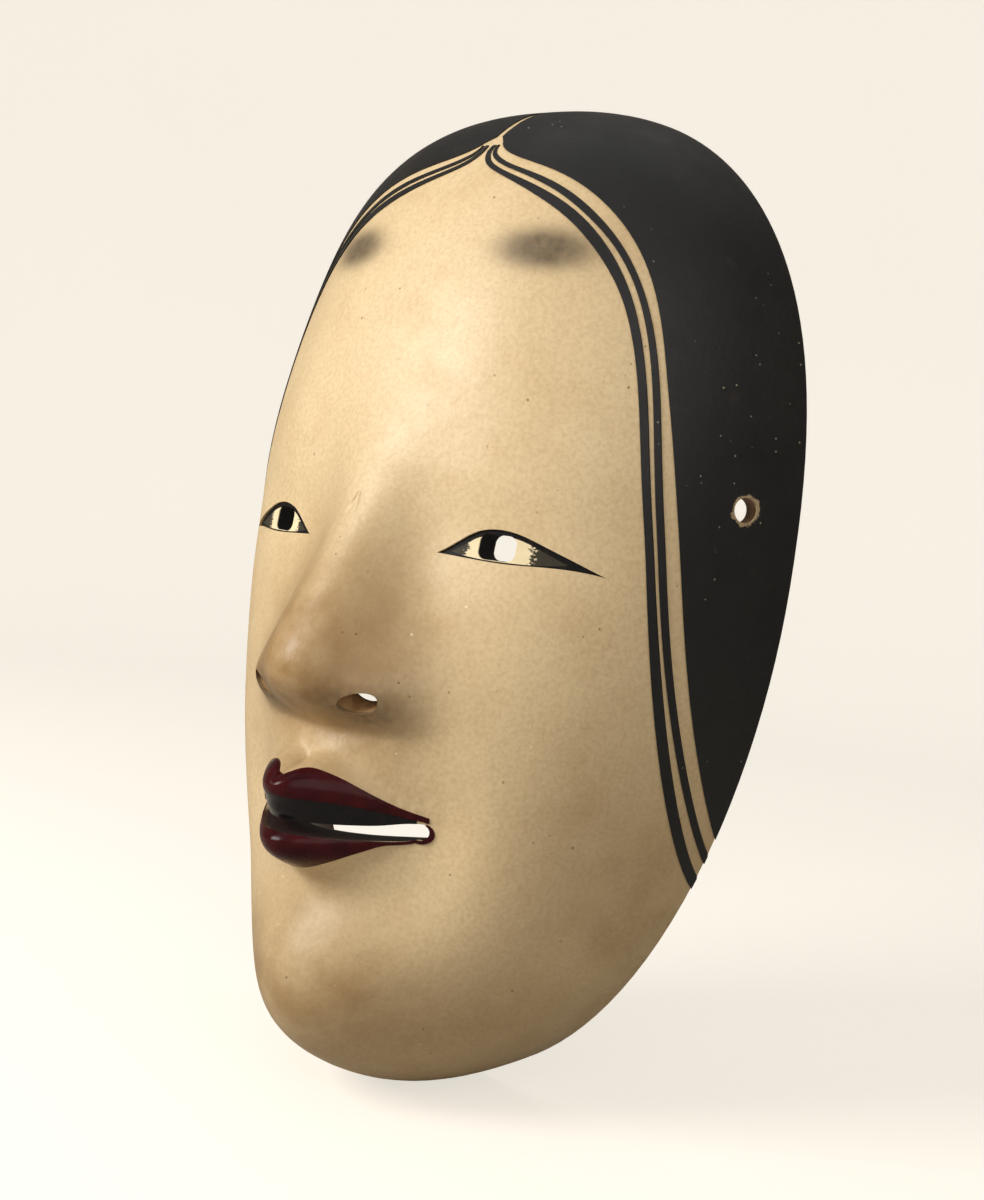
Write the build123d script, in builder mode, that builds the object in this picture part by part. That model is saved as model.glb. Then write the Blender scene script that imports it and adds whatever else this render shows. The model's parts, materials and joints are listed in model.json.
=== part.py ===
from build123d import *

import os

import numpy as np

# A young-woman noh mask: one hollow carved cypress shell, a chalk ground over its whole front,
# lacquer in the hollow back, and thin painted films for the hair, eyes, lips and blackened teeth.
#
# Frame: +Z up, the face looks along -Y, and X = 0 is the plane of symmetry. The origin is on the
# level of the lowest point of the chin, at the middle of the mask's depth. Left and right are as
# seen from in front, so left is -X.
#
# Everything is drawn on the board: the plane of the rim at the back, seen from the front. On the
# board x is across, z is up from the rim's lowest point, and out is the depth towards the viewer.

# ---- driving dimensions, millimetres ----

HEIGHT = 212.0         # chin to crown along the rim
HALF_WIDTH = 68.0      # centre to rim at the widest level
WIDEST = 125.0         # height of the widest level
DEPTH = 70.0           # rim plane to the tip of the nose
CHIN_HANG = 0.52       # how far the ball of the chin hangs below the rim

WALL = 8.5             # cypress wall at the rim
PARED_WALL = 5.0       # wall behind the eyes, the nostrils and the mouth, straight through
COAT = 0.8             # chalk ground
FILM = 0.25            # paint
LACQUER = 0.3          # lacquer in the hollow

CORD_HOLE_R = 2.5
CORD_HOLE_AT = (62.1, 129.6, 11.3)   # across, up and out on the board
CORD_HOLE_TILT = 45.0                # degrees that its axis leans forward from straight sideways

PUPIL_AT = (28.2, 116.4)
PUPIL_SIZE = (7.0, 5.0)
PUPIL_CORNER = 1.6

NOSTRIL_AT = (12.6, 83.6, 61.0)      # middle of the nostril where it opens
NOSTRIL_RADII = (3.8, 2.5)
NOSTRIL_HEADING = (0.07, -0.58, 0.81)
NOSTRIL_DEPTH = 30.0

MOUTH_CORNER = 22.5                  # half the width of the mouth
MOUTH_EASE = 0.8                     # softness of the steps between lips, teeth and slot
PARTING = 1.6                        # bare line between the two fields of hair

SYMMETRY = Plane.YZ
BOARD = Plane(origin=(0, DEPTH / 2, CHIN_HANG), x_dir=(1, 0, 0), z_dir=(0, -1, 0))
BEHIND = BOARD.offset(-10.0)      # where cuts start, behind the rim
CLEAR = DEPTH + 20.0             # and this long they pass through everything


# ---- curves and soft forms that the carving is made of ----

def curve(value, stations, heights):
    """A smooth curve through a few stations, level beyond the first and the last."""
    stations, heights = np.asarray(stations, float), np.asarray(heights, float)
    slopes = np.gradient(heights, stations)
    value = np.clip(value, stations[0], stations[-1])
    low = np.clip(np.searchsorted(stations, value, side="right") - 1, 0, len(stations) - 2)
    span = stations[low + 1] - stations[low]
    t = (value - stations[low]) / span
    start = (2 * t**3 - 3 * t**2 + 1) * heights[low] + (t**3 - 2 * t**2 + t) * span * slopes[low]
    end = (3 * t**2 - 2 * t**3) * heights[low + 1] + (t**3 - t**2) * span * slopes[low + 1]
    return start + end


def step(value):
    """A soft step from 0 to 1, half-way at zero."""
    return 1 / (1 + np.exp(-np.clip(value, -30, 30)))


def mound(x, z, across, up, spread_x, spread_z, rise):
    """A soft rise, with its mirror image when it isn't on the centre line."""
    height = (z - up) / spread_z
    rises = [np.exp(-0.5 * (((x - side) / spread_x) ** 2 + height**2)) for side in {across, -across}]
    return rise * sum(rises)


def rim_gauge(x, z, inset=0.0):
    """Zero in the middle of the mask and one on the rim, or on a line inset from the rim."""
    above = z - WIDEST
    reach = np.where(above > 0, HEIGHT - WIDEST, WIDEST) - inset
    power = 2.0 + 0.2 * (1 + np.tanh(above / 30))
    return ((np.abs(x) / (HALF_WIDTH - inset)) ** power + (np.abs(above) / reach) ** power) ** (1 / power)


def dome(x, z):
    """The plain bowl of the mask without its features."""
    gauge = rim_gauge(x, z)
    above = z - WIDEST
    lean = above / np.where(above > 0, HEIGHT - WIDEST, WIDEST) / np.maximum(gauge, 1e-6)
    crown = np.clip(lean, 0, 1) ** 2
    chin = np.clip(-lean, 0, 1) ** 2
    fullness = 1 / (1.0 + 1.1 * crown**1.5 + 3.2 * chin**3)
    roundness = 3.0 - 0.3 * crown + 0.8 * chin
    ease = 0.003 * (crown + chin) + 1e-9
    inside = 1 - gauge**roundness
    swell = np.where(
        inside > 0,
        (np.abs(inside) + ease) ** fullness - ease**fullness,
        fullness * ease ** (fullness - 1) * inside,
    )
    swell = swell / ((1 + ease) ** fullness - ease**fullness)
    return swell * curve(
        z,
        [0, 20, 45, 70, 100, 125, 160, 190, 212],
        [56, 56, 53, 51, 49.5, 49, 47, 45, 43],
    )


def soft_features(x, z):
    """Cheeks, temples, eye hollows, the swell round the mouth and the ball of the chin."""
    return (
        mound(x, z, 33, 76, 16, 24, 2.5)
        - mound(x, z, 26, 118, 13, 6.0, 1.5)
        - mound(x, z, 44, 172, 16, 22, 3.0)
        + mound(x, z, 0, 63, 12, 14, 9.5)
        + mound(x, z, 0, 22, 15, 12.5, 14.0)
        - mound(x, z, 0, 45.0, 15, 5.0, 3.6)
        - mound(x, z, 23, 60, 6.5, 10, 4.5)
    )


def nose(x, z):
    """The broad soft nose: a wide base with steep sides, a round ball at the tip and two wings."""
    ridge = curve(
        z,
        [60, 75, 77.5, 79.5, 82, 85, 88.5, 92.5, 98, 104, 112, 122, 134, 148, 160],
        [0, 0, 0.5, 4.0, 9.4, 13.3, 15.3, 15.8, 14.9, 12.9, 9.3, 5.2, 2.0, 0.4, 0],
    )
    half = curve(z, [60, 77, 84, 92, 99, 110, 122, 140, 160], [15, 16, 16.5, 15.8, 13.8, 10.6, 9.4, 11, 13])
    return (
        ridge * np.exp(-((np.abs(x) / half) ** 2.3))
        + mound(x, z, 0, 90.5, 7.5, 7.0, 2.7)
        + mound(x, z, 16.0, 85.0, 3.6, 4.6, 3.0)
    )


# ---- the lines of the mouth: height on the board, from the centre line to the corner ----

def mouth_curve(x, shares, heights):
    """A line of the mouth through stations at shares of the way to its corner."""
    return curve(x, MOUTH_CORNER * np.array(shares), heights)


def lip_top(x):
    return mouth_curve(
        x,
        [0, 0.08, 0.18, 0.32, 0.48, 0.66, 0.83, 1],
        [68.0, 69.0, 69.9, 69.4, 67.9, 65.7, 63.8, 62.6],
    )


def teeth_top(x):
    return mouth_curve(x, [0, 0.2, 0.47, 0.7, 0.86, 1], [64.0, 63.9, 63.7, 62.9, 62.2, 61.6])


def slot_top(x):
    return mouth_curve(x, [0, 0.24, 0.47, 0.7, 0.86, 1], [59.2, 59.3, 59.6, 60.3, 61.2, 61.4])


def slot_bottom(x):
    return mouth_curve(x, [0, 0.24, 0.47, 0.7, 0.86, 1], [56.7, 56.7, 56.8, 57.2, 57.7, 59.5])


def lip_bottom(x):
    return mouth_curve(
        x,
        [0, 0.12, 0.31, 0.47, 0.63, 0.78, 1],
        [49.3, 49.6, 51.3, 53.2, 55.3, 57.0, 58.6],
    )


def lips(x, z):
    """Both lips and the row of teeth that stands back behind the upper one."""
    x = np.abs(x)
    fade = np.clip(1 - (x / (MOUTH_CORNER + 0.5)) ** 2.2, 0, 1)
    over_teeth = step((z - teeth_top(x) + 0.3) / MOUTH_EASE)
    upper_fall = np.clip(z - teeth_top(x) - 0.3, 0, 99) / (1.02 * (lip_top(x) - teeth_top(x)) + 0.7)
    beak = 8.0 * np.exp(-((x / 8.5) ** 2))
    upper = (1.6 * fade + 0.85 * beak) * over_teeth * np.exp(-(upper_fall**4))
    teeth = (0.6 * fade + 0.6 * beak) * step((z - slot_top(x) - 0.2) / MOUTH_EASE) * (1 - over_teeth)
    fullness = slot_bottom(x) - lip_bottom(x)
    fold = slot_bottom(x) - 0.42 * fullness
    thickness = 0.5 * fullness + 1.2
    lower = (1.3 * np.sqrt(fullness * fade) + 0.6 * beak) * np.exp(-np.abs((z - fold) / thickness) ** 2.6)
    return upper + teeth + lower


def front_without_lips(x, z):
    """The front of the mask before the mouth is carved: how far out it stands on the board."""
    fade = 1 - np.minimum(rim_gauge(x, z), 1) ** 8
    return dome(x, z) + fade * (soft_features(x, z) + nose(x, z))


def front(x, z):
    return front_without_lips(x, z) + lips(x, z)


def pared(x, z):
    """One behind the eyes, the nostrils and the mouth, where the wood is pared thin, and zero elsewhere."""
    left_thick = (
        (1 - np.minimum(mound(x, z, 0, 59, 16, 6, 1.0), 1))
        * (1 - np.minimum(mound(x, z, 29, 116, 8, 6, 1.0), 1))
        * (1 - np.minimum(mound(x, z, 13, 86, 6.5, 6, 1.0), 1))
    )
    return 1 - left_thick


def hollow(x, z):
    """The carved back: the same bowl a wall thinner, with a shallow trough behind the nose."""
    gauge = np.minimum(rim_gauge(x, z, WALL), 1)
    deep = curve(z, [0, 30, 60, 90, 125, 160, 200], [38, 39, 40, 40, 39.5, 38.5, 36])
    plain = (1 - gauge**2.6) ** 0.62 * deep + (1 - gauge**8) * (
        mound(x, z, 0, 88, 11, 13, 11)
        + mound(x, z, 0, 50, 18, 20, 4)
        + mound(x, z, 0, 24, 13, 12, 7)
        - mound(x, z, 46, 156, 12, 20, 2.2)
    )
    return plain + pared(x, z) * (front_without_lips(x, z) - PARED_WALL - plain)


# ---- sheets: the carved faces, drawn on rings round a pole on the bridge of the nose ----

RAYS = 57              # from the crown round to the chin, on one side
RINGS = 64             # crowded together where the nose and the mouth are
POLE_RING = 0.006      # the innermost ring, as a share of the way to the rim, closed by a flat cap

turn = np.linspace(0, np.pi, RAYS)
HEADINGS = turn + 0.56 * np.sin(turn)      # closer together towards the mouth and the chin
sampled = np.linspace(0, 1, 2001)
crowding = 1 + 3.2 * step((sampled - 0.17) / 0.015) * step((0.5 - sampled) / 0.02) + 2.5 * sampled**24
crowded = np.concatenate([[0], np.cumsum(crowding[1:] + crowding[:-1])])
SHARES = POLE_RING + (1 - POLE_RING) * np.interp(np.linspace(0, 1, RINGS), crowded / crowded[-1], sampled)


def on_rays(gauge, inset):
    """Board x and z on every ray, at the given share of the way to the rim (one row for each ray)."""
    x, rise = np.sin(HEADINGS)[:, None] * gauge, np.cos(HEADINGS)[:, None] * gauge
    x = x * (HALF_WIDTH - inset)
    rise = rise * (np.where(rise > 0, HEIGHT - WIDEST, WIDEST) - inset)
    for _ in range(4):
        stretch = gauge / np.maximum(rim_gauge(x, rise + WIDEST, inset), 1e-9)
        x, rise = x * stretch, rise * stretch
    return x, rise + WIDEST


def rings(rule, inset=0.0):
    """Points of a carved face, ring by ring, evenly spread along each ray's own path."""
    gauge = np.broadcast_to(1 - (1 - np.linspace(0, 1, 600)) ** 5, (RAYS, 600))
    x, z = on_rays(gauge, inset)
    plain = dome(x, z) if inset == 0 else hollow(x, z)
    steps = np.sqrt(np.diff(x) ** 2 + np.diff(z) ** 2 + np.diff(plain) ** 2)
    path = np.concatenate([np.zeros((RAYS, 1)), np.cumsum(steps, axis=1)], axis=1)
    share = [np.interp(SHARES * path[i, -1], path[i], gauge[i]) for i in range(RAYS)]
    x, z = on_rays(np.array(share), inset)
    out = rule(x, z)
    out[:, -1] = 0.0
    slope = float(rule(np.array(0.0), np.array(WIDEST + 1)) - rule(np.array(0.0), np.array(WIDEST - 1))) / 2
    out[:, 0] = rule(np.array(0.0), np.array(WIDEST)) + slope * (z[:, 0] - WIDEST)
    low = np.clip((45 - z) / 37, 0, 1)
    hang = 5.0 * low**2 * (3 - 2 * low) * np.clip(out / 50, 0, 1.2) * np.exp(-0.5 * (x / 26) ** 2)
    x[[0, -1]] = 0.0
    return np.stack([x, z - hang, out], axis=-1).swapaxes(0, 1)


def normals(points):
    """Outward directions all over a sheet, square to it."""
    flip = np.array([-1.0, 1.0, 1.0])
    wide = np.concatenate([points[:, 1:2] * flip, points, points[:, -2:-1] * flip], axis=1)
    normal = np.cross(wide[:, 2:] - wide[:, :-2], np.gradient(points, axis=0))
    return normal / np.linalg.norm(normal, axis=-1)[..., None]


def moved_out(points, directions, distance):
    """The same rings moved out by a distance, with the rim kept on the board and the cap flat."""
    moved = points + distance * directions
    moved[..., 2] -= moved[-1, :, 2] * (SHARES**12)[:, None]
    moved[0] = points[0] + distance * directions[0].mean(axis=0) * (0.0, 1.0, 1.0)
    moved[:, [0, -1], 0] = 0.0
    return moved


def ring_edge(ring):
    """One ring as a spline from the crown to the chin, square to the plane of symmetry."""
    points = [BOARD.from_local_coords(tuple(map(float, point))) for point in ring]
    steps = len(points) - 1
    speed = [float(np.linalg.norm(ring[near] - ring[far])) * steps for near, far in ((0, 1), (-1, -2))]
    return Edge.make_spline(
        points,
        tangents=[(speed[0], 0, 0), (-speed[1], 0, 0)],
        parameters=list(np.linspace(0, 1, len(points))),
        scale=False,
    )


def both_sides(shape):
    return [shape, shape.mirror(SYMMETRY)]


def bowl(points):
    """The faces of a carved sheet: its two halves and the flat cap at the pole."""
    half = Shell.make_loft([Wire([ring_edge(ring)]) for ring in points]).faces()[0]
    return [*both_sides(half), Face(Wire(both_sides(ring_edge(points[0]))))]


def rim_of(points):
    return Wire(both_sides(ring_edge(points[-1])))


def layer(under, over):
    """The closed solid between two sheets, with a flat rim on the board."""
    rim = Face(rim_of(over), [rim_of(under)])
    return Solid(Shell([*bowl(under), *bowl(over), rim]))


# ---- the layers, which share their faces so that they touch exactly ----

coat_front = rings(front)
coat_normals = normals(rings(front_without_lips))
wood_front = moved_out(coat_front, coat_normals, -COAT)
paint_front = moved_out(coat_front, coat_normals, FILM)
eye_front = moved_out(coat_front, coat_normals, FILM - COAT)
hollow_back = rings(hollow, WALL)
lacquer_back = moved_out(hollow_back, normals(hollow_back), -LACQUER)

wood_layer = layer(hollow_back, wood_front)
ground_layer = layer(wood_front, coat_front)
paint_layer = layer(coat_front, paint_front)
eye_layer = layer(wood_front, eye_front)
lacquer_layer = layer(lacquer_back, hollow_back)


# ---- outlines on the board: x across, z up ----

EYE_INNER = (16.9, 114.0)
EYE_OUTER = (46.6, 113.3)
LID_ARCH = [(21.0, 116.9), (24.4, 119.1), (28.0, 119.9), (31.6, 119.6), (36.2, 118.0), (41.8, 115.6)]
LOWER_LID = [(39.0, 113.9), (31.0, 113.5), (23.0, 113.7)]
WHITE_INNER = (19.4, 114.6)
WHITE_OUTER = (40.6, 114.8)
WHITE_ARCH = [(21.6, 116.0), (24.6, 118.0), (28.0, 118.75), (31.6, 118.5), (36.0, 116.9)]
WHITE_LOW = [(37.5, 114.2), (31.0, 113.8), (24.0, 113.95)]

# A loose strand of hair is a brush line: x, z and width from the parting down to the jaw.
INNER_STRAND = [
    (0.95, 199.0, 0.7), (1.0, 197.3, 0.9), (2.3, 195.1, 1.0), (6.0, 192.7, 1.0), (11.3, 190.5, 1.2),
    (19.4, 187.0, 1.7), (27.3, 182.4, 1.9), (33.6, 176.7, 1.8), (39.5, 168.6, 1.4), (43.7, 159.1, 1.2),
    (48.5, 140.2, 1.1), (51.5, 121.5, 1.0), (53.9, 97.9, 1.1), (55.3, 73.3, 1.1), (56.1, 50.0, 0.9),
]
OUTER_STRAND = [
    (2.0, 199.0, 0.5), (2.4, 197.3, 0.7), (4.5, 195.4, 0.9), (9.2, 193.3, 0.9), (15.6, 191.1, 1.1),
    (23.7, 187.5, 1.3), (29.8, 183.4, 1.3), (35.3, 178.4, 1.1), (41.8, 169.0, 0.9), (45.7, 159.5, 0.9),
    (50.2, 140.5, 0.9), (53.0, 121.8, 0.9), (55.4, 98.1, 0.8), (57.2, 73.5, 0.7), (58.2, 50.0, 0.6),
]
HAIR_EDGE = [
    (2.4, 199.9), (3.6, 198.5), (5.8, 197.1), (9.6, 195.6), (17.0, 193.3), (25.3, 189.8), (34.4, 183.2),
    (40.6, 175.6), (45.4, 165.7), (49.4, 152.3), (52.1, 141.0), (55.7, 118.5), (57.9, 93.7), (59.2, 70.0),
    (59.6, 50.0),
]


def brush_line(stations):
    """The two long edges of a brush line, and its two short ends."""
    path = np.array([(x, z) for x, z, _ in stations])
    half = np.array([[width / 2] for _, _, width in stations])
    heading = np.gradient(path, axis=0)
    heading /= np.linalg.norm(heading, axis=1)[:, None]
    sideways = half * np.stack([-heading[:, 1], heading[:, 0]], axis=1)
    one, other = [[tuple(map(float, p)) for p in edge] for edge in (path + sideways, path - sideways)]
    Spline(*one)
    Line(one[-1], other[-1])
    Spline(*reversed(other))
    Line(other[0], one[0])


def mouth_line(rule, low, high, count=15):
    """Points of a line of the mouth, from one x to another."""
    return [(float(x), float(rule(abs(x)))) for x in np.linspace(low, high, count)]


def lip_edge(x):
    """Lower edge of the lower lip, which thins to a line round the corner of the mouth."""
    return np.minimum(lip_bottom(x), slot_bottom(x) - 0.6)


with BuildSketch(BEHIND) as eye_outline:
    with BuildLine():
        Spline(EYE_INNER, *LID_ARCH, EYE_OUTER)
        Spline(EYE_OUTER, *LOWER_LID, EYE_INNER)
    make_face()

with BuildSketch(BEHIND) as white_outline:
    with BuildLine():
        Spline(WHITE_INNER, *WHITE_ARCH, WHITE_OUTER)
        Spline(WHITE_OUTER, *WHITE_LOW, WHITE_INNER)
    make_face()


# ---- the openings that pass through every layer ----

SLOT_TOP_END = MOUTH_CORNER - 1.2
SLOT_LOW_END = MOUTH_CORNER - 2.2

with BuildPart() as mouth_slot:
    with BuildSketch(BEHIND):
        with BuildLine():
            above = mouth_line(slot_top, -SLOT_TOP_END, SLOT_TOP_END)
            below = mouth_line(slot_bottom, SLOT_LOW_END, -SLOT_LOW_END)
            Spline(*above)
            ThreePointArc(above[-1], (MOUTH_CORNER - 0.1, 60.1), below[0])
            Spline(*below)
            ThreePointArc(below[-1], (0.1 - MOUTH_CORNER, 60.1), above[0])
        make_face()
    extrude(amount=CLEAR)

with BuildPart() as pupils:
    with BuildSketch(BEHIND):
        with Locations(PUPIL_AT, (-PUPIL_AT[0], PUPIL_AT[1])):
            RectangleRounded(*PUPIL_SIZE, PUPIL_CORNER)
    extrude(amount=CLEAR)

nostril_plane = Plane(
    origin=BOARD.from_local_coords(NOSTRIL_AT),
    x_dir=(1, 0, 0),
    z_dir=BOARD.from_local_coords(NOSTRIL_HEADING) - BOARD.origin,
)
with BuildPart() as nostrils:
    with BuildSketch(nostril_plane):
        Ellipse(*NOSTRIL_RADII)
    extrude(amount=-NOSTRIL_DEPTH)
    extrude(nostrils.faces().sort_by(Axis.Y)[0], amount=12)
    mirror(about=SYMMETRY)

hole_tilt = np.radians(CORD_HOLE_TILT)
cord_hole_plane = Plane(
    origin=BOARD.from_local_coords(CORD_HOLE_AT),
    z_dir=(float(np.cos(hole_tilt)), -float(np.sin(hole_tilt)), 0),
)
with BuildPart() as cord_holes:
    with BuildSketch(cord_hole_plane):
        Circle(CORD_HOLE_R)
    extrude(amount=15, both=True)
    mirror(about=SYMMETRY)

with BuildPart() as openings:
    add(mouth_slot.part)
    add(pupils.part)
    add(nostrils.part)
    add(cord_holes.part)


# ---- wood_shell: the carved block, hollowed from behind ----

with BuildPart() as wood_shell:
    add(wood_layer)
    add(openings.part, mode=Mode.SUBTRACT)


# ---- ground_coat and back_lacquer: the two layers over the wood ----

with BuildPart() as eye_windows:
    extrude(eye_outline.sketch, amount=CLEAR)
    mirror(about=SYMMETRY)

with BuildPart() as ground_coat:
    add(ground_layer)
    add(eye_windows.part, mode=Mode.SUBTRACT)
    add(openings.part, mode=Mode.SUBTRACT)

with BuildPart() as back_lacquer:
    add(lacquer_layer)
    add(openings.part, mode=Mode.SUBTRACT)


# ---- hair: two black fields and four loose strands ----

with BuildPart() as hair_field_right:
    with BuildSketch(BEHIND):
        with BuildLine():
            Spline(*HAIR_EDGE)
            Polyline(
                HAIR_EDGE[-1],
                (HALF_WIDTH + 10, HAIR_EDGE[-1][1]),
                (HALF_WIDTH + 10, HEIGHT + 10),
                (PARTING / 2, HEIGHT + 10),
                (PARTING / 2, HAIR_EDGE[0][1] + 1.6),
                HAIR_EDGE[0],
            )
        make_face()
    extrude(amount=CLEAR)
    add(paint_layer, mode=Mode.INTERSECT)
    add(openings.part, mode=Mode.SUBTRACT)

with BuildPart() as hair_strand_inner_right:
    with BuildSketch(BEHIND):
        with BuildLine():
            brush_line(INNER_STRAND)
        make_face()
    extrude(amount=CLEAR)
    add(paint_layer, mode=Mode.INTERSECT)

with BuildPart() as hair_strand_outer_right:
    with BuildSketch(BEHIND):
        with BuildLine():
            brush_line(OUTER_STRAND)
        make_face()
    extrude(amount=CLEAR)
    add(paint_layer, mode=Mode.INTERSECT)

with BuildPart() as hair_field_left:
    mirror(hair_field_right.part, about=SYMMETRY)

with BuildPart() as hair_strand_inner_left:
    mirror(hair_strand_inner_right.part, about=SYMMETRY)

with BuildPart() as hair_strand_outer_left:
    mirror(hair_strand_outer_right.part, about=SYMMETRY)


# ---- eyes: the white and the ink lie on the wood inside the windows of the ground ----

with BuildPart() as eye_white_right:
    extrude(white_outline.sketch, amount=CLEAR)
    add(eye_layer, mode=Mode.INTERSECT)
    add(openings.part, mode=Mode.SUBTRACT)

with BuildPart() as eye_ink_right:
    extrude(eye_outline.sketch, amount=CLEAR)
    extrude(white_outline.sketch, amount=CLEAR, mode=Mode.SUBTRACT)
    add(eye_layer, mode=Mode.INTERSECT)
    add(openings.part, mode=Mode.SUBTRACT)

with BuildPart() as eye_white_left:
    mirror(eye_white_right.part, about=SYMMETRY)

with BuildPart() as eye_ink_left:
    mirror(eye_ink_right.part, about=SYMMETRY)


# ---- mouth: colour on both lips, black on the row of teeth ----

LIP_END = MOUTH_CORNER - 0.3

with BuildPart() as upper_lip_colour:
    with BuildSketch(BEHIND):
        with BuildLine():
            above = mouth_line(lip_top, -LIP_END, LIP_END, 21)
            below = mouth_line(teeth_top, LIP_END, -LIP_END)
            Spline(*above)
            Line(above[-1], below[0])
            Spline(*below)
            Line(below[-1], above[0])
        make_face()
    extrude(amount=CLEAR)
    add(paint_layer, mode=Mode.INTERSECT)

with BuildPart() as tooth_blackening:
    with BuildSketch(BEHIND):
        with BuildLine():
            above = mouth_line(lambda x: teeth_top(x) - 0.05, -SLOT_LOW_END, SLOT_LOW_END)
            Spline(*above)
            Polyline(above[-1], (SLOT_LOW_END, 60.5), (0, 58.0), (-SLOT_LOW_END, 60.5), above[0])
        make_face()
    extrude(amount=CLEAR)
    add(paint_layer, mode=Mode.INTERSECT)
    add(openings.part, mode=Mode.SUBTRACT)

with BuildPart() as lower_lip_colour:
    with BuildSketch(BEHIND):
        with BuildLine():
            edge = mouth_line(lip_edge, SLOT_LOW_END, -SLOT_LOW_END, 21)
            tip = (MOUTH_CORNER - 0.6, 61.35)
            inside = (MOUTH_CORNER - 2.0, 60.4)
            Spline(*edge)
            ThreePointArc(edge[-1], (-MOUTH_CORNER - 0.55, 60.1), (-tip[0], tip[1]))
            Polyline((-tip[0], tip[1]), (-inside[0], inside[1]), (0, 58.0), inside, tip)
            ThreePointArc(tip, (MOUTH_CORNER + 0.55, 60.1), edge[0])
        make_face()
    extrude(amount=CLEAR)
    add(paint_layer, mode=Mode.INTERSECT)
    add(openings.part, mode=Mode.SUBTRACT)


# ---- labels and files ----

os.makedirs("parts", exist_ok=True)

PIECES = {
    "wood_shell": wood_shell,
    "ground_coat": ground_coat,
    "back_lacquer": back_lacquer,
    "hair_field_left": hair_field_left,
    "hair_field_right": hair_field_right,
    "hair_strand_inner_left": hair_strand_inner_left,
    "hair_strand_inner_right": hair_strand_inner_right,
    "hair_strand_outer_left": hair_strand_outer_left,
    "hair_strand_outer_right": hair_strand_outer_right,
    "eye_white_left": eye_white_left,
    "eye_white_right": eye_white_right,
    "eye_ink_left": eye_ink_left,
    "eye_ink_right": eye_ink_right,
    "upper_lip_colour": upper_lip_colour,
    "lower_lip_colour": lower_lip_colour,
    "tooth_blackening": tooth_blackening,
}
for name, piece in PIECES.items():
    piece.part.label = name
    export_step(piece.part, f"parts/{name}.step")
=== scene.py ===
import json
import math

import bmesh
import bpy
from mathutils import Matrix, Vector


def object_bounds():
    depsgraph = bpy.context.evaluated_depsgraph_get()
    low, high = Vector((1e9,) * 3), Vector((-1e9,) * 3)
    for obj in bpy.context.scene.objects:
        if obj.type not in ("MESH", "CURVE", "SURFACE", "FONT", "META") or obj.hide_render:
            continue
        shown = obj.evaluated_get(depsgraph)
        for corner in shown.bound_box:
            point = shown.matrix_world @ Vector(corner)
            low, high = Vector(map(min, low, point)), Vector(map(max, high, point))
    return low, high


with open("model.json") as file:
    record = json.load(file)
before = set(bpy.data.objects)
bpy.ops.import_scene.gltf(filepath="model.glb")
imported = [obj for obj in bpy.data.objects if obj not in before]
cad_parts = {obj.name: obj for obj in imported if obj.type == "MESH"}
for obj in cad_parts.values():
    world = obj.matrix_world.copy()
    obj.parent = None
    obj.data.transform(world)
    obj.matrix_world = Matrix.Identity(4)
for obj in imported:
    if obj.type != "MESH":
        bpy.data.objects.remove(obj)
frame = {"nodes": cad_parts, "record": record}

# A young-woman noh mask on a pale studio floor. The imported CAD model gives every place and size;
# here its pieces get their finished surfaces. Names that end in _MM hold millimetres in the frame
# of the CAD model: x across, y in depth with the face looking along -y, z up.

MM = 0.001
NODES = frame["nodes"]
cad_low, cad_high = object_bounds()
MIDDLE = (cad_low + cad_high) / 2


# ---- material building blocks ----

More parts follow.
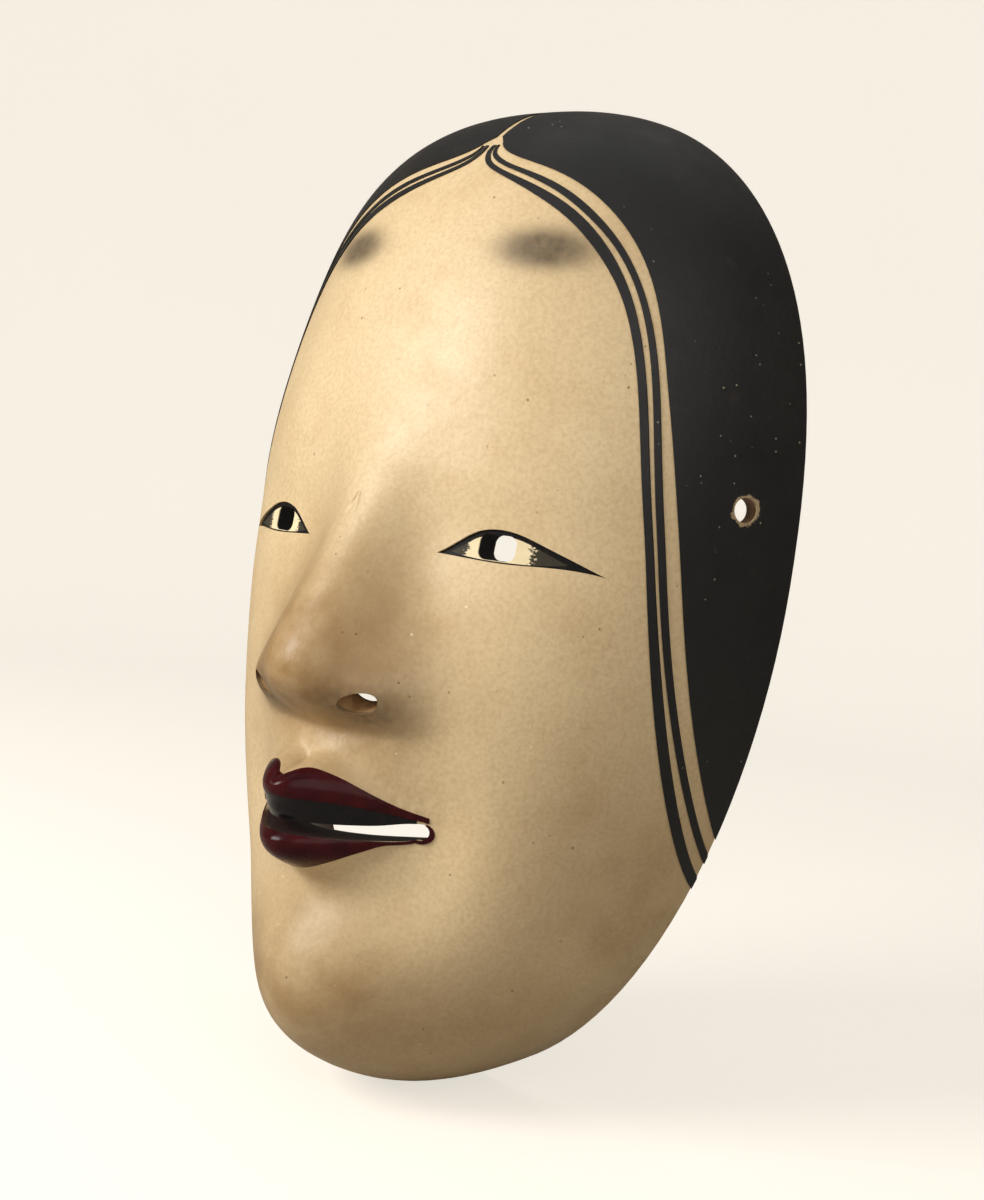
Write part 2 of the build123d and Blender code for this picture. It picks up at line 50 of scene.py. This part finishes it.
class Look:
    """One procedural material, with helpers that add nodes and hand back their outputs."""

    def __init__(self, name):
        self.material = bpy.data.materials.new(name)
        self.material.use_nodes = True
        self.tree = self.material.node_tree
        self.surface = self.tree.nodes["Principled BSDF"]
        place = self.add("TexCoord").outputs["Object"]
        self.place = self.vector("MULTIPLY", place, (1 / MM,) * 3)

    def add(self, kind):
        return self.tree.nodes.new("ShaderNode" + kind)

    def put(self, socket, value):
        """Links an output, or sets a number, vector or colour."""
        if isinstance(value, bpy.types.NodeSocket):
            self.tree.links.new(value, socket)
        elif hasattr(socket.default_value, "__len__") and len(socket.default_value) == 4:
            socket.default_value = (*value, 1.0) if len(value) == 3 else value
        else:
            socket.default_value = value

    # numbers and places

    def math(self, operation, one, other=0.0):
        node = self.add("Math")
        node.operation = operation
        self.put(node.inputs[0], one)
        self.put(node.inputs[1], other)
        return node.outputs[0]

    def scaled(self, value, amount):
        return self.math("MULTIPLY", value, amount)

    def vector(self, operation, one, other=(0, 0, 0)):
        node = self.add("VectorMath")
        node.operation = operation
        self.put(node.inputs[0], one)
        self.put(node.inputs[1], other)
        return node.outputs["Value" if operation in ("DOT_PRODUCT", "LENGTH") else "Vector"]

    def axes(self, value):
        node = self.add("SeparateXYZ")
        self.put(node.inputs[0], value)
        return node.outputs

    def either_side(self):
        """The place with its left half folded over onto the right."""
        x, y, z = self.axes(self.place)
        node = self.add("CombineXYZ")
        for socket, value in zip(node.inputs, (self.math("ABSOLUTE", x), y, z)):
            self.put(socket, value)
        return node.outputs[0]

    # patterns, each between 0 and 1

    def noise(self, size_mm, detail, seed, stretch=(1, 1, 1)):
        """Noise whose lumps are about size_mm across, and longer along an axis with a low stretch."""
        node = self.add("TexNoise")
        node.noise_dimensions = "4D"
        scaled = self.vector("MULTIPLY", self.place, tuple(s / size_mm for s in stretch))
        self.put(node.inputs["Vector"], scaled)
        self.put(node.inputs["W"], seed)
        self.put(node.inputs["Scale"], 1.0)
        self.put(node.inputs["Detail"], detail)
        self.put(node.inputs["Roughness"], 0.55)
        return node.outputs["Fac"]

    def ramp(self, value, start, end, low=0.0, high=1.0):
        """Eases from low to high as value goes from start to end."""
        node = self.add("MapRange")
        node.interpolation_type = "SMOOTHSTEP"
        for socket, number in zip(node.inputs, (value, start, end, low, high)):
            self.put(socket, number)
        return node.outputs[0]

    def patchy(self, mask, noise, start, end, low=0.0, high=1.0):
        """The mask, weakened where the noise is low."""
        return self.math("MULTIPLY", mask, self.ramp(noise, start, end, low, high))

    def flecks(self, spacing_mm, edge, core, patches, start, end):
        """Round flecks about spacing_mm apart, only where the patches are high."""
        node = self.add("TexVoronoi")
        self.put(node.inputs["Vector"], self.vector("MULTIPLY", self.place, (1 / spacing_mm,) * 3))
        self.put(node.inputs["Scale"], 1.0)
        return self.patchy(self.ramp(node.outputs["Distance"], edge, core), patches, start, end)

    def spot(self, centre_mm, spread_mm, place=None):
        """A soft blot: 1 in its centre, fading away over spread_mm."""
        away = self.vector("SUBTRACT", place or self.place, centre_mm)
        away = self.vector("DIVIDE", away, spread_mm)
        squared = self.vector("DOT_PRODUCT", away, away)
        return self.math("EXPONENT", self.scaled(squared, -0.5))

    # a distance, colours and the surface

    def reach(self, centre_mm, axis, place):
        """Distance in millimetres from a line through centre_mm along axis."""
        away = self.vector("SUBTRACT", place, centre_mm)
        return self.vector("LENGTH", self.vector("CROSS_PRODUCT", away, axis))

    def mix(self, share, one, other):
        node = self.add("Mix")
        node.data_type = "RGBA"
        self.put(node.inputs[0], share)
        self.put(node.inputs[6], one)
        self.put(node.inputs[7], other)
        return node.outputs[2]

    def over(self, colour, tint, mask, strength=1.0):
        """The colour with a tint laid over it where the mask is high."""
        return self.mix(self.scaled(mask, strength), colour, tint)

    def finish(self, colour, roughness, height, height_mm, specular=0.5, coat=0.0, coat_roughness=0.2):
        self.put(self.surface.inputs["Base Color"], colour)
        self.put(self.surface.inputs["Roughness"], roughness)
        self.put(self.surface.inputs["Specular IOR Level"], specular)
        self.put(self.surface.inputs["Coat Weight"], coat)
        self.put(self.surface.inputs["Coat Roughness"], coat_roughness)
        bump = self.add("Bump")
        self.put(bump.inputs["Distance"], height_mm * MM)
        self.put(bump.inputs["Height"], height)
        self.put(self.surface.inputs["Normal"], bump.outputs[0])
        return self.material


def srgb(red, green, blue):
    """A colour given in 0 to 255 as the eye sees it, turned into linear light."""
    shares = [value / 255 for value in (red, green, blue)]
    return tuple(v / 12.92 if v <= 10 / 255 else ((v + 0.055) / 1.055) ** 2.4 for v in shares)


# ---- places on the mask; those off the middle lie on both sides ----

BROW_MM = (24.2, 0.0, 175.9)
PUPIL_MM = (28.2, -7.0, 116.9)
NOSTRIL_MM = (12.6, -26.0, 83.5)
NOSE_TIP_MM = (0.0, -33.0, 91.0)
MOUTH_MM = (0.0, -22.0, 57.5)
CORD_HOLE = next(m for m in frame["record"]["mounts"] if m["name"] == "cord_hole_right")
CORD_HOLE_MM = tuple(metres / MM for metres in CORD_HOLE["pos_m"])
CORD_HOLE_R_MM = CORD_HOLE["dims"]["r_mm"]

# darkened places on the ground: centre, spread, how strongly. The ball of the chin is browned by
# handling and also carries painted shade; under the lower lip, the side and root of the nose and the
# edge of the jaw are painted shade; beside the chin the ground is simply made darker; the temple is
# browned by hands and years.
BROWNED_AND_SHADED_PLACES = [
    ((4, -19, 26), (17, 30, 10), 0.85),      # ball of the chin
    ((0, -19, 41), (9, 20, 5), 0.5),         # under the lower lip
    ((11, -18, 91), (6, 16, 13), 0.7),       # side of the nose
    ((9, -10, 110), (5, 14, 13), 0.35),      # root of the nose
    ((52, 26, 46), (12, 30, 26), 0.5),       # edge of the jaw
    ((28, -2, 20), (16, 26, 9), 0.4),        # beside the chin
    ((40, 20, 183), (14, 40, 12), 0.25),     # temple
]

# brush strokes in the corners of the eye: x where they start to show, x where they are full, raggedness
OUTER_STROKES = (37.4, 37.9, 6.0)
INNER_STROKES = (20.2, 19.7, -5.0)


# ---- finishes ----

def chalk_look():
    """Polished shell-powder ground, yellowed, browned where it is handled, with painted shade on the
    nose, under the lip, at the jaw and round the chin, and with the brow smudges.
    """
    look = Look("aged_and_shaded_chalk_ground")
    side = look.either_side()
    colour = look.mix(look.noise(38, 4, seed=1), srgb(208, 182, 140), srgb(222, 200, 160))
    clouds = look.ramp(look.noise(14, 5, seed=4), 0.45, 0.75)
    colour = look.over(colour, srgb(190, 158, 110), clouds, 0.35)

    # brown patina on the tip of the nose, with painted shade down the sides of the nose
    nose = look.spot(NOSE_TIP_MM, (16, 30, 17))
    nose = look.patchy(nose, look.noise(6, 6, seed=7), 0.25, 0.75, 0.55, 1.0)
    colour = look.over(colour, srgb(142, 106, 60), nose)
    # the same brown lays handling wear at some of these places and painted shade at others, as listed
    # above
    for centre, spread, strength in BROWNED_AND_SHADED_PLACES:
        patches = look.noise(10, 5, seed=centre[2])
        worn = look.patchy(look.spot(centre, spread, side), patches, 0.25, 0.75, 0.5, 1.0)
        colour = look.over(colour, srgb(134, 102, 60), worn, strength)

    stain = look.spot(NOSTRIL_MM, (5.0, 14, 3.4), side)
    stain = look.patchy(stain, look.noise(1.6, 4, seed=11), 0.2, 0.7, 0.55, 1.0)
    colour = look.over(colour, srgb(70, 54, 40), stain, 0.85)
    mouth_edge = look.ramp(look.spot(MOUTH_MM, (13, 14, 1.7)), 0.35, 0.6)
    colour = look.over(colour, srgb(38, 12, 13), mouth_edge)
    brow = look.ramp(look.spot(BROW_MM, (7.0, 60, 3.4), side), 0.05, 0.9)
    brow = look.patchy(brow, look.noise(3, 5, seed=3), 0.2, 0.7, 0.8, 1.0)
    colour = look.over(colour, srgb(66, 57, 46), brow, 0.9)

    grain = look.ramp(look.noise(0.9, 3, seed=12), 0.35, 0.7)
    colour = look.over(colour, srgb(150, 118, 76), grain, 0.22)
    dark_specks = look.flecks(3.1, 0.11, 0.07, look.noise(11, 3, seed=14), 0.52, 0.62)
    colour = look.over(colour, srgb(104, 78, 48), dark_specks, 0.7)
    pale_specks = look.flecks(5.3, 0.07, 0.04, look.noise(16, 2, seed=19), 0.5, 0.6)
    colour = look.over(colour, srgb(238, 222, 190), pale_specks, 0.6)

    roughness = look.ramp(look.noise(7, 4, seed=21), 0.3, 0.8, 0.4, 0.54)
    pores = look.scaled(look.noise(0.5, 2, seed=25), 0.25)
    height = look.math("ADD", look.noise(2.6, 5, seed=23), pores)
    return look.finish(colour, roughness, height, 0.12, specular=0.35, coat=0.03, coat_roughness=0.3)


def hair_look():
    """Satin black, worn brown in places, dusty, and chipped to the ground round the cord holes."""
    look = Look("black_hair_paint")
    clouds = look.ramp(look.noise(22, 5, seed=31, stretch=(1, 1, 0.4)), 0.3, 0.8)
    colour = look.mix(clouds, srgb(15, 15, 16), srgb(27, 25, 24))
    worn = look.ramp(look.noise(6, 6, seed=33), 0.6, 0.8)
    colour = look.over(colour, srgb(58, 46, 38), worn, 0.4)
    dust = look.flecks(2.7, 0.085, 0.05, look.noise(17, 2, seed=35), 0.5, 0.62)
    colour = look.over(colour, srgb(186, 172, 148), dust, 0.75)

    from_hole = look.reach(CORD_HOLE_MM, tuple(CORD_HOLE["axis"]), look.either_side())
    ragged = look.math("ADD", from_hole, look.scaled(look.noise(1.1, 4, seed=36), -2.2))
    chipped = look.ramp(ragged, CORD_HOLE_R_MM - 0.4, CORD_HOLE_R_MM - 0.8)
    colour = look.over(colour, srgb(168, 146, 112), chipped)

    roughness = look.ramp(look.noise(9, 5, seed=37), 0.3, 0.8, 0.4, 0.58)
    brush_marks = look.scaled(look.noise(0.35, 2, seed=41, stretch=(1, 1, 0.3)), 0.3)
    height = look.math("ADD", look.noise(1.8, 5, seed=39), brush_marks)
    return look.finish(colour, roughness, height, 0.06, specular=0.4, coat=0.05, coat_roughness=0.35)


def lip_look():
    """Dark red, darker where it has worn, with a few pale chips."""
    look = Look("lip_red")
    clouds = look.ramp(look.noise(6, 5, seed=51), 0.3, 0.8)
    colour = look.mix(clouds, srgb(46, 7, 12), srgb(72, 13, 19))
    worn = look.ramp(look.noise(2.2, 5, seed=53), 0.62, 0.78)
    colour = look.over(colour, srgb(26, 7, 10), worn, 0.5)
    chips = look.flecks(6.3, 0.075, 0.05, look.noise(9, 2, seed=55), 0.56, 0.6)
    colour = look.over(colour, srgb(196, 150, 130), chips)
    roughness = look.ramp(look.noise(4, 4, seed=57), 0.3, 0.8, 0.2, 0.36)
    height = look.noise(1.2, 4, seed=59)
    return look.finish(colour, roughness, height, 0.05, specular=0.14, coat=0.03, coat_roughness=0.12)


def tooth_look():
    """Glossy tooth black."""
    look = Look("blackened_teeth")
    colour = look.mix(look.noise(3, 4, seed=61), srgb(9, 9, 11), srgb(26, 22, 24))
    roughness = look.ramp(look.noise(3, 3, seed=63), 0.3, 0.8, 0.1, 0.24)
    height = look.noise(1.5, 3, seed=65)
    return look.finish(colour, roughness, height, 0.04, specular=0.2, coat=0.08, coat_roughness=0.08)


def eye_white_look():
    """Off-white with frayed brush strokes drawn in from both corners of the eye."""
    look = Look("eye_white")
    x = look.axes(look.either_side())[0]
    bristles = look.noise(0.42, 3, seed=70, stretch=(0.12, 1, 1))

    def strokes(start, full, raggedness):
        return look.ramp(look.math("ADD", x, look.scaled(bristles, raggedness)), start, full)

    ink = look.math("MAXIMUM", strokes(*OUTER_STROKES), strokes(*INNER_STROKES))
    colour = look.mix(look.noise(3, 4, seed=71), srgb(214, 196, 156), srgb(238, 224, 188))
    colour = look.over(colour, srgb(14, 12, 12), ink, 0.95)
    return look.finish(colour, 0.5, look.noise(0.9, 3, seed=73), 0.03, specular=0.15)


def eye_ink_look():
    """Matt ink, a little brown where it is thin."""
    look = Look("eye_ink")
    thin = look.ramp(look.noise(1.4, 4, seed=75), 0.4, 0.8)
    colour = look.mix(thin, srgb(12, 11, 12), srgb(34, 28, 24))
    return look.finish(colour, 0.5, look.noise(0.6, 3, seed=77), 0.03, specular=0.15)


def wood_look():
    """Straight-grained cypress, near black inside the pupils and reddened inside the mouth."""
    look = Look("cypress_wood")
    x = look.axes(look.place)[0]
    wander = look.scaled(look.noise(16, 4, seed=81, stretch=(1, 1, 0.15)), 14)
    rings = look.math("ADD", look.scaled(x, 0.9), wander)
    grain = look.math("SINE", look.scaled(rings, 2.2))
    fibre = look.noise(0.8, 4, seed=83, stretch=(1, 1, 0.08))
    colour = look.mix(look.ramp(grain, -0.6, 1.0), srgb(188, 150, 102), srgb(168, 128, 82))
    colour = look.over(colour, srgb(112, 78, 46), fibre, 0.5)
    # the walls of the pupil holes are made near black
    near_black_in_pupils = look.ramp(look.spot(PUPIL_MM, (7, 8, 6), look.either_side()), 0.2, 0.35)
    colour = look.over(colour, srgb(16, 13, 12), near_black_in_pupils)
    reddened = look.ramp(look.spot(MOUTH_MM, (22, 12, 6)), 0.25, 0.4)
    colour = look.over(colour, srgb(40, 14, 14), reddened)
    height = look.math("ADD", fibre, look.scaled(grain, 0.1))
    return look.finish(colour, 0.62, height, 0.12)


def lacquer_look():
    """Brown lacquer over the carved hollow, rubbed through in places."""
    look = Look("back_lacquer")
    colour = look.mix(look.noise(26, 5, seed=85), srgb(74, 44, 28), srgb(108, 68, 42))
    worn = look.ramp(look.noise(7, 6, seed=87), 0.6, 0.78)
    colour = look.over(colour, srgb(128, 90, 54), worn, 0.5)
    roughness = look.ramp(look.noise(8, 4, seed=89), 0.3, 0.8, 0.25, 0.45)
    height = look.noise(2.0, 5, seed=91, stretch=(1, 1, 0.5))
    return look.finish(colour, roughness, height, 0.15, coat=0.3)


def dress(looks):
    """Gives each CAD node its finish and smooth shading."""
    for node, look in looks.items():
        thing = NODES[node]
        thing.data.materials.clear()
        thing.data.materials.append(look)
        thing.data.shade_smooth()


# ---- studio, in metres and degrees ----

FLOOR_RADIUS = 0.75
CURVE_RADIUS = 0.35
WALL_HEIGHT = 1.7
BEND_STEP = 10
AROUND = 96             # segments round the floor
PAPER_GLOW = 0.7        # keeps the paper near white without throwing more light on the mask

CAMERA_AZIMUTH = 38.28
CAMERA_ELEVATION = 2.54
CAMERA_ROLL = 7.29
CAMERA_DISTANCE_MM = 341.0
CAMERA_AIM_MM = (0, 10, 0.2)      # from the middle of the mask
LENS = 48.37
LENS_SHIFT = (0.0453, -0.0107)

AIR_COLOUR = (1.0, 0.99, 0.97, 1)
AIR_STRENGTH = 0.6


def paper_look():
    """Pale paper that looks brighter than the light it throws back on the mask."""
    look = Look("studio_paper")
    colour = look.mix(look.noise(120, 3, seed=95), srgb(176, 171, 163), srgb(182, 177, 169))
    seen = look.add("LightPath").outputs["Is Camera Ray"]
    look.put(look.surface.inputs["Emission Color"], srgb(255, 249, 238))
    look.put(look.surface.inputs["Emission Strength"], look.scaled(seen, PAPER_GLOW))
    return look.finish(colour, 0.9, look.noise(1.5, 3, seed=97), 0.03, specular=0.1)


def backdrop():
    """A round pale floor that curves up into a wall on every side."""
    profile = [(0.0, 0.0), (0.25, 0.0), (0.5, 0.0)]
    for angle in map(math.radians, range(0, 91, BEND_STEP)):
        radius = FLOOR_RADIUS + CURVE_RADIUS * math.sin(angle)
        profile.append((radius, CURVE_RADIUS * (1 - math.cos(angle))))
    profile.append((FLOOR_RADIUS + CURVE_RADIUS, WALL_HEIGHT))
    mesh = bmesh.new()
    line = [mesh.verts.new((radius, 0, height)) for radius, height in profile]
    edges = [mesh.edges.new(pair) for pair in zip(line, line[1:])]
    turn = {"cent": (0, 0, 0), "axis": (0, 0, 1), "angle": 2 * math.pi, "steps": AROUND}
    bmesh.ops.spin(mesh, geom=line + edges, **turn)
    bmesh.ops.remove_doubles(mesh, verts=mesh.verts, dist=1e-5)
    bmesh.ops.recalc_face_normals(mesh, faces=mesh.faces)
    data = bpy.data.meshes.new("studio_floor")
    mesh.to_mesh(data)
    mesh.free()
    floor = bpy.data.objects.new("studio_floor", data)
    floor.data.materials.append(paper_look())
    floor.data.shade_smooth()
    bpy.context.scene.collection.objects.link(floor)


def sky():
    """Even light from all round."""
    world = bpy.data.worlds.new("studio_air")
    world.use_nodes = True
    air = world.node_tree.nodes["Background"]
    air.inputs["Color"].default_value = AIR_COLOUR
    air.inputs["Strength"].default_value = AIR_STRENGTH
    bpy.context.scene.world = world


def lamp(name, direction, distance, size, watts, colour):
    """A square soft lamp that points at the middle of the mask."""
    light = bpy.data.lights.new(name, "AREA")
    light.shape = "SQUARE"
    light.size = size
    light.energy = watts
    light.color = colour
    stand = bpy.data.objects.new(name, light)
    towards = Vector(direction).normalized()
    stand.location = MIDDLE + towards * distance
    stand.rotation_euler = towards.to_track_quat("Z", "Y").to_euler()
    stand.visible_camera = False
    bpy.context.scene.collection.objects.link(stand)


def camera():
    """Stands to the right of the mask, a little above its middle, and leans to one side."""
    azimuth, elevation, roll = map(math.radians, (CAMERA_AZIMUTH, CAMERA_ELEVATION, CAMERA_ROLL))
    back = Vector((
        math.sin(azimuth) * math.cos(elevation),
        -math.cos(azimuth) * math.cos(elevation),
        math.sin(elevation),
    ))
    level = Vector((math.cos(azimuth), math.sin(azimuth), 0))
    right = level * math.cos(roll) + back.cross(level) * math.sin(roll)
    up = back.cross(right)
    place = MIDDLE + (Vector(CAMERA_AIM_MM) + back * CAMERA_DISTANCE_MM) * MM
    data = bpy.data.cameras.new("camera")
    data.sensor_width = 36.0
    data.lens = LENS
    data.shift_x, data.shift_y = LENS_SHIFT
    data.clip_start = 0.01
    stand = bpy.data.objects.new("camera", data)
    stand.matrix_world = Matrix.Translation(place) @ Matrix((right, up, back)).transposed().to_4x4()
    bpy.context.scene.collection.objects.link(stand)
    bpy.context.scene.camera = stand


# ---- the finished picture ----

CHALK = chalk_look()
HAIR = hair_look()
LIP = lip_look()
TOOTH = tooth_look()
EYE_WHITE = eye_white_look()
EYE_INK = eye_ink_look()
WOOD = wood_look()
LACQUER = lacquer_look()

looks = {
    "wood_shell": WOOD,
    "ground_coat": CHALK,
    "back_lacquer": LACQUER,
    "upper_lip_colour": LIP,
    "lower_lip_colour": LIP,
    "tooth_blackening": TOOTH,
}
for hand in ("left", "right"):
    looks[f"eye_white_{hand}"] = EYE_WHITE
    looks[f"eye_ink_{hand}"] = EYE_INK
    for hair in ("hair_field", "hair_strand_inner", "hair_strand_outer"):
        looks[f"{hair}_{hand}"] = HAIR
dress(looks)

backdrop()
sky()
lamp("key_lamp", (-0.38, -0.82, 0.42), 0.75, 0.34, 6.2, (1.0, 0.98, 0.94))
lamp("fill_lamp", (0.85, -0.75, 0.45), 0.8, 0.6, 1.7, (1.0, 0.98, 0.95))
camera()
bpy.context.scene.view_settings.view_transform = "Standard"
